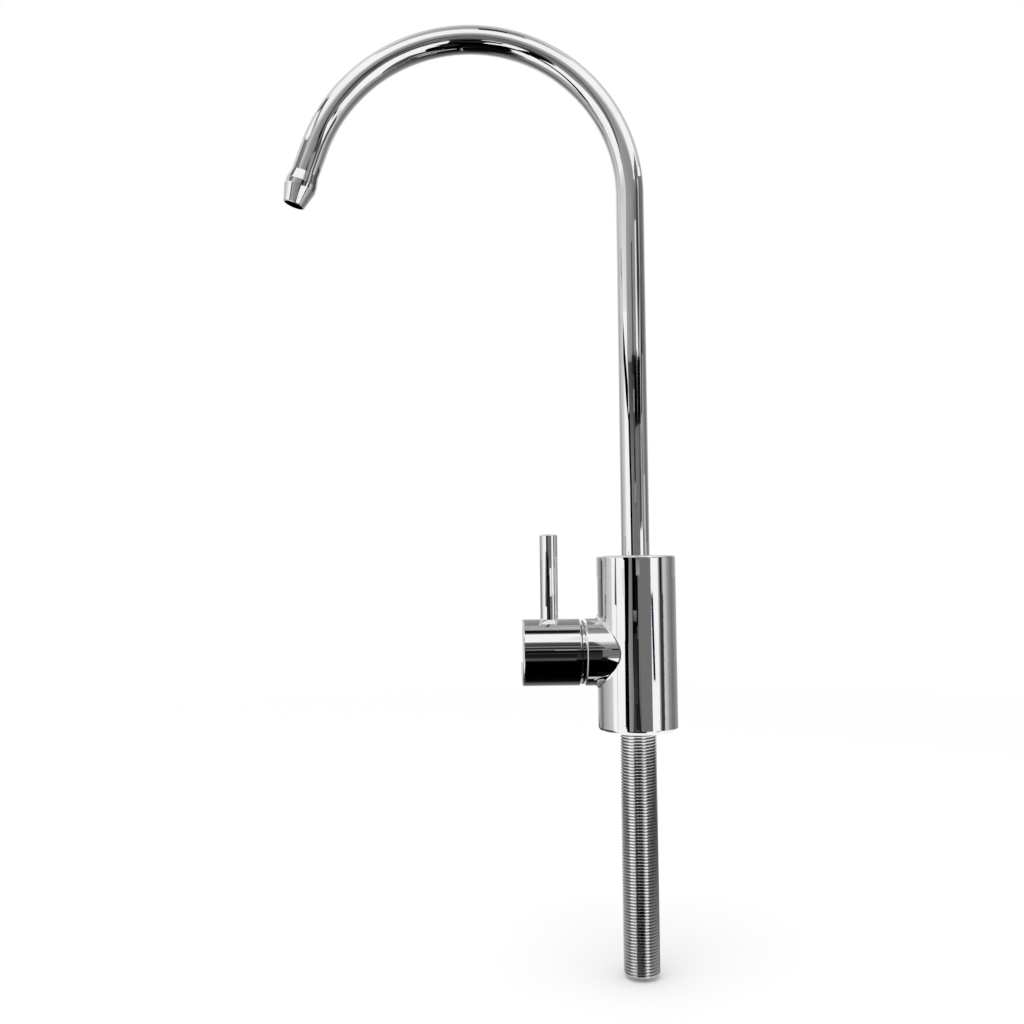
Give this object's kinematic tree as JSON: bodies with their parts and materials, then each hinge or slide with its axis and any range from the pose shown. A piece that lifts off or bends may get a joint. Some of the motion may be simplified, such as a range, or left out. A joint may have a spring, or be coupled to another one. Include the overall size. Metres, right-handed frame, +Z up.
{
  "type": "drinking water filter tap",
  "caption": "Slim worktop tap with a swivelling gooseneck spout, a side lever on a short branch and a threaded shank below.",
  "frame": {"origin": "on the tap's axis at the underside of its body, on top of the worktop", "axes": "+Z up along the body, -X along the handle branch and the spout at rest, -Y towards the user who turns the lever down"},
  "size_m": [0.1309, 0.0264, 0.32],
  "materials": {
    "chrome": "bright chrome plate on brass, mirror polished",
    "thread_chrome": "thin chrome plate over a cut thread",
    "brass": "bare turned brass",
    "rubber": "black moulded rubber, slightly greased",
    "fibre": "red-brown pressed fibre",
    "ceramic": "lapped ceramic",
    "white_plastic": "natural acetal",
    "black_plastic": "black moulded plastic",
    "steel": "plain stainless steel"
  },
  "bodies": {
    "tap": {"tap_body": "chrome", "base_seal": "rubber", "shank": "thread_chrome", "shank_seal": "fibre", "spout_thrust_washer": "white_plastic", "spout_retaining_bush": "chrome", "cartridge_housing": "brass", "cartridge_o_ring": "rubber", "bonnet_ring": "chrome", "seat_seal": "rubber", "fixed_disc": "ceramic"},
    "spout": {"spout_tube": "chrome", "spout_ferrule": "brass", "spout_o_ring_lower": "rubber", "spout_o_ring_upper": "rubber", "spout_tip": "chrome", "outlet_straightener": "black_plastic"},
    "handle": {"handle_hub": "chrome", "lever_rod": "chrome", "grub_screw": "steel", "spindle": "brass", "moving_disc": "ceramic", "spindle_slip_washer": "white_plastic", "spindle_o_ring_inner": "rubber", "spindle_o_ring_outer": "rubber", "stop_washer": "steel", "spindle_clip": "steel"}
  },
  "joints": [
    {"name": "spout_swivel", "type": "hinge", "parent": "tap", "child": "spout", "pos_m": [0, 0, 0.058], "axis": [0, 0, 1], "continuous": true},
    {"name": "handle_turn", "type": "hinge", "parent": "tap", "child": "handle", "pos_m": [-0.0292, 0, 0.0262], "axis": [1, 0, 0], "range_deg": [0, 90]}
  ]
}
